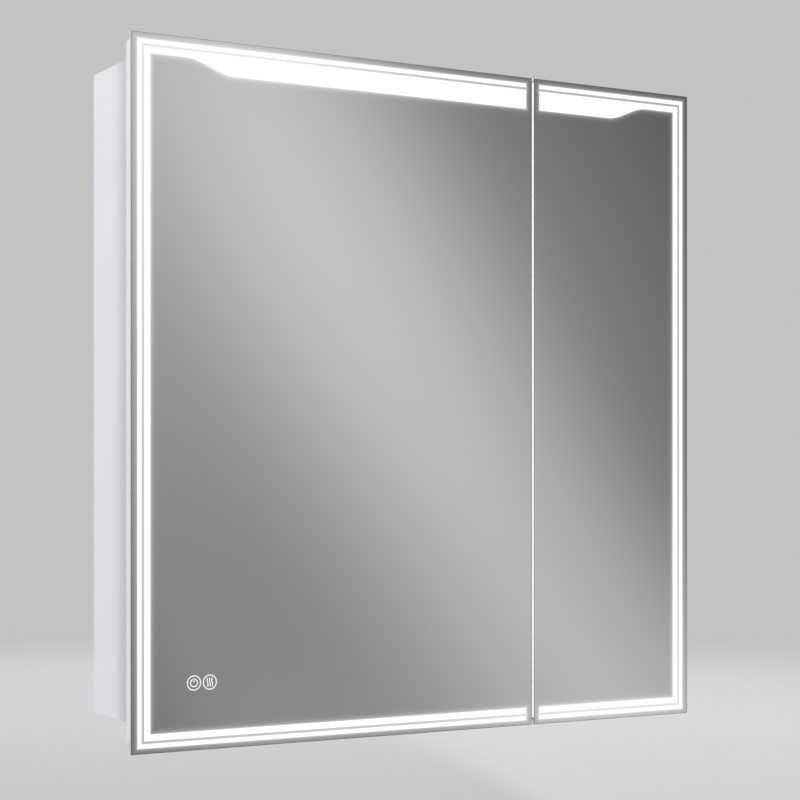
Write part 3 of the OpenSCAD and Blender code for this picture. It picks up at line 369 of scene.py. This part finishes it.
MATERIALS = {
    "white_lacquer": material("satin_lacquer", lacquer),
    "white_board": material("melamine_board", satin((0.73, 0.74, 0.75), 0.0012, 0.00003, 0.42)),
    "zinc_plate": material("zinc_plating",
                           metal((0.62, 0.63, 0.65), 0.30, 0.0015, 0.03, (1, 1, 0.2)), Metallic=1.0),
    "dowel_wood": material("beech_dowel", beech),
    "shelf_glass": material("clear_shelf_glass", shelf_glass, Transmission_Weight=1.0, IOR=1.5),
    "nickel": material("nickel_plating",
                       metal((0.72, 0.71, 0.69), 0.18, 0.0012, 0.02, (1, 0.25, 1)), Metallic=1.0),
    "white_plastic": material("grained_white_plastic",
                              satin((0.78, 0.783, 0.785), 0.0006, 0.00004, 0.45)),
    "driver_case": material("driver_plastic", satin((0.72, 0.72, 0.72), 0.0008, 0.00005, 0.5)),
    "terminal_plastic": material("moulded_nylon", satin((0.80, 0.77, 0.68), 0.0010, 0.00002, 0.4)),
    "dark_rubber": material("dark_rubber",
                            satin((0.030, 0.030, 0.032), 0.0009, 0.00005, 0.62, 0.10)),
    "lead_jacket": material("lead_jacket",
                            satin((0.028, 0.028, 0.030), 0.0015, 0.00003, 0.40, 0.10)),
    "mirror_glass": material("silvered_glass", mirror, Emission_Color=(0.90, 0.93, 0.92, 1)),
    "lit_strip": material("lit_etched_glass", lit, Base_Color=(0.05, 0.05, 0.05, 1),
                          Emission_Strength=1.0),
    "light_guide": material("dotted_acrylic", guide, Transmission_Weight=0.6, IOR=1.49),
    "reflector_film": material("reflector_film", satin((0.86, 0.86, 0.86), 0.0010, 0.00002, 0.6)),
    "led_board": material("led_circuit", circuit),
    "heater_film": material("heater_film", heater),
    "sensor_case": material("sensor_plastic",
                            satin((0.045, 0.045, 0.048), 0.0008, 0.00003, 0.5, 0.08)),
    "white_frame": material("powder_coat", frame_white(0.0010, 0.34, 0.02),
                            Emission_Color=(1, 1, 1, 1)),
    "white_moulding": material("satin_moulding", frame_white(0.0008, 0.30, 0.008),
                               Emission_Color=(1, 1, 1, 1)),
    "clear_rubber": material("soft_clear_rubber", satin((0.66, 0.68, 0.67), 0.0010, 0.00002, 0.35),
                             Transmission_Weight=0.35, IOR=1.45),
}

for name, node in NODES.items():
    node.data.materials.clear()
    node.data.materials.append(MATERIALS[SLOT_OF[name]])


# ---------------------------------------------------------------- edges

SMOOTH_UP_TO = math.radians(35)       # between two faces
SHARP_FROM = math.radians(50)
FLAT_UP_TO = math.radians(0.5)
WELD_REACH = 2e-6
EDGE_SEGMENTS = 2


def smoothing_group():
    """Geometry nodes that shade a mesh smooth up to SMOOTH_UP_TO, without the imported normals."""
    group = bpy.data.node_groups.new("smooth_by_angle", "GeometryNodeTree")
    group.interface.new_socket("Mesh", in_out="INPUT", socket_type="NodeSocketGeometry")
    group.interface.new_socket("Mesh", in_out="OUTPUT", socket_type="NodeSocketGeometry")
    add, link = group.nodes.new, group.links.new
    start, end = add("NodeGroupInput"), add("NodeGroupOutput")
    bare = add("GeometryNodeRemoveAttribute")
    bare.inputs["Name"].default_value = "custom_normal"
    smooth = add("GeometryNodeSetShadeSmooth")
    smooth.domain = "FACE"
    sharp = add("GeometryNodeSetShadeSmooth")
    sharp.domain = "EDGE"
    sharp.inputs["Shade Smooth"].default_value = False
    angle = add("GeometryNodeInputMeshEdgeAngle")
    over = add("FunctionNodeCompare")
    over.inputs[1].default_value = SMOOTH_UP_TO
    link(start.outputs[0], bare.inputs["Geometry"])
    link(bare.outputs[0], smooth.inputs["Geometry"])
    link(smooth.outputs[0], sharp.inputs["Geometry"])
    link(angle.outputs["Unsigned Angle"], over.inputs[0])
    link(over.outputs[0], sharp.inputs["Selection"])
    link(sharp.outputs[0], end.inputs[0])
    return group


SMOOTHING = smoothing_group()


def soften(width, *names, air=0.0):
    """Rounds the sharp edges of CAD nodes by width metres, as real edges are. air draws the faces
    of a box in by that much, so that light gets between glass and what it rests on."""
    for name in names:
        node = NODES[name]
        node.modifiers.new("weld", "WELD").merge_threshold = WELD_REACH
        flat = node.modifiers.new("flat", "DECIMATE")
        flat.decimate_type = "DISSOLVE"
        flat.angle_limit = FLAT_UP_TO
        if air:
            gap = node.modifiers.new("air", "DISPLACE")
            gap.strength = -air * math.sqrt(3)      # a box's corners move along their diagonal
            gap.mid_level = 0.0
        node.modifiers.new("smooth", "NODES").node_group = SMOOTHING
        edge = node.modifiers.new("edge", "BEVEL")
        edge.width = width
        edge.segments = EDGE_SEGMENTS
        edge.limit_method = "ANGLE"
        edge.angle_limit = SHARP_FROM
        edge.use_clamp_overlap = False
        edge.harden_normals = True


soften(0.0005, "left_side_panel", "right_side_panel", "top_panel", "bottom_panel", "divider_panel",
       "upper_batten", "lower_batten", "terminal_block", "cable_trunking")
soften(0.0004, "left_shelves", "right_shelves", air=0.00005)
soften(0.0009, "driver_cover", "led_driver", "cable_grommet")
for side in ("left_", "right_"):
    soften(0.0003, side + "frame_stiles", side + "frame_rails", side + "frame_corners",
           side + "back_cover")
    soften(0.0002, side + "hinge_cups")
soften(0.0002, "hinge_arms", "hinge_plates", "mount_washers")


# ---------------------------------------------------------------- stage, light

def panel(name, corners):
    """One flat stage face from its corners."""
    mesh = bpy.data.meshes.new(name)
    bm = bmesh.new()
    bm.faces.new([bm.verts.new(c) for c in corners])
    bm.to_mesh(mesh)
    bm.free()
    made = bpy.data.objects.new(name, mesh)
    bpy.context.scene.collection.objects.link(made)
    return made


BACKDROP = (0.54, 0.545, 0.55, 1)
FLOOR_DROP = 0.22
FLOOR_Z = CAD_BOX[0].z - FLOOR_DROP
REACH = 14                            # half the width of the floor
FADE_START, FADE_END = 1.0, 4.5       # where the floor fades, from its middle


def floor_material():
    """A pale matt floor that takes shadows near the object and fades into the backdrop further off.
    It is clear from below, so that the underside of the object can be seen."""
    made = bpy.data.materials.new("pale_floor")
    made.use_nodes = True
    n = Nodes(made.node_tree)
    grain = n.noise(0.04, 4.0)
    ground = n.add("ShaderNodeBsdfPrincipled",
                   {"Base Color": shades(n, n.noise(0.9, 3.0), (0.56, 0.565, 0.57), 0.008),
                    "Roughness": n.ramp(grain, 0.3, 0.7, 0.75, 0.85)})
    far = n.add("ShaderNodeEmission", {"Color": BACKDROP})
    away = n.add("ShaderNodeVectorMath", {0: n.place((1, 1, 0))},
                 operation="LENGTH").outputs["Value"]
    above = n.add("ShaderNodeMixShader", {0: n.ramp(away, FADE_START, FADE_END),
                                          1: ground.outputs[0], 2: far.outputs[0]})
    below = n.add("ShaderNodeNewGeometry").outputs["Backfacing"]
    clear = n.add("ShaderNodeBsdfTransparent")
    n.output(n.add("ShaderNodeMixShader", {0: below, 1: above.outputs[0],
                                           2: clear.outputs[0]}).outputs[0])
    return made


floor = panel("floor", [(-REACH, -REACH, FLOOR_Z), (REACH, -REACH, FLOOR_Z),
                        (REACH, REACH, FLOOR_Z), (-REACH, REACH, FLOOR_Z)])
floor.data.materials.append(floor_material())
floor.visible_glossy = False

STUDIO_LIGHT = (0.35, 0.356, 0.365, 1)
# soft diagonal bands of studio light, which the mirrors show: a wide one, a ripple half as long
# on it, a nearly level one across both, and a dark flag to the right
BAND_COLOUR = (1.155, 1.174, 1.170, 1)
BAND_WAVE, CROSS_WAVE = (16.07, 0.0, 8.58), (1.58, 0.0, 14.83)
BAND_LEVEL, BAND_SWING = 0.307, 0.137
BAND_RIPPLE, RIPPLE_PHASE = -0.065, -1.17
CROSS_SWING, CROSS_PHASE = 0.038, -1.18
FLAG, FLAG_EDGE, FLAG_DEPTH = (0.824, -0.481, 0.300), 0.891, 0.65
DARKEST = 0.05

world = bpy.data.worlds.new("studio")
bpy.context.scene.world = world
world.use_nodes = True
w = Nodes(world.node_tree)
path = w.add("ShaderNodeLightPath")
direction = w.add("ShaderNodeTexCoord").outputs["Generated"]


def along(vector):
    """How far the direction that is looked in reaches along a vector."""
    return w.add("ShaderNodeVectorMath", {0: direction, 1: vector},
                 operation="DOT_PRODUCT").outputs["Value"]


swing = along(BAND_WAVE)
wide = w.math("MULTIPLY_ADD", w.math("SINE", swing), BAND_SWING, BAND_LEVEL)
ripple = w.math("COSINE", w.math("MULTIPLY_ADD", swing, 2.0, RIPPLE_PHASE))
cross = w.math("SINE", w.math("ADD", along(CROSS_WAVE), CROSS_PHASE))
band = w.math("MULTIPLY_ADD", ripple, BAND_RIPPLE, w.math("MULTIPLY_ADD", cross, CROSS_SWING, wide))
band = w.math("SUBTRACT", band, w.ramp(along(FLAG), FLAG_EDGE, 1.0, 0.0, FLAG_DEPTH))
band = w.math("MAXIMUM", band, DARKEST)
bands = w.mix(band, (0, 0, 0, 1), BAND_COLOUR)
seen = w.math("MAXIMUM", path.outputs["Is Camera Ray"], path.outputs["Is Transmission Ray"])
light = w.mix(path.outputs["Is Glossy Ray"], STUDIO_LIGHT, bands)
background = w.add("ShaderNodeBackground", {0: w.mix(seen, light, BACKDROP)})
w.output(background.outputs[0], "ShaderNodeOutputWorld")


def lamp(name, bearing, height, distance, size, level):
    """A soft round lamp aimed at the object from a bearing (0 in front, 90 on its left) and a
    height, in degrees. A level of 1 makes a white surface that faces it render white."""
    a, e = math.radians(bearing), math.radians(height)
    place = distance * Vector((-math.sin(a) * math.cos(e), -math.cos(a) * math.cos(e), math.sin(e)))
    data = bpy.data.lights.new(name, "AREA")
    data.shape = "DISK"
    data.size = size
    data.energy = level * math.pi ** 2 * distance ** 2
    made = bpy.data.objects.new(name, data)
    bpy.context.scene.collection.objects.link(made)
    made.location = place
    made.rotation_euler = (-place).to_track_quat("-Z", "Y").to_euler()
    made.visible_glossy = False
    made.visible_camera = False


lamp("front_key", 12, 22, 6.5, 0.75, 0.56)
lamp("left_key", 98, 38, 5.2, 2.0, 0.545)
lamp("right_fill", -120, 25, 4.0, 2.0, 0.34)
lamp("back_fill", -165, 20, 4.0, 1.6, 0.30)
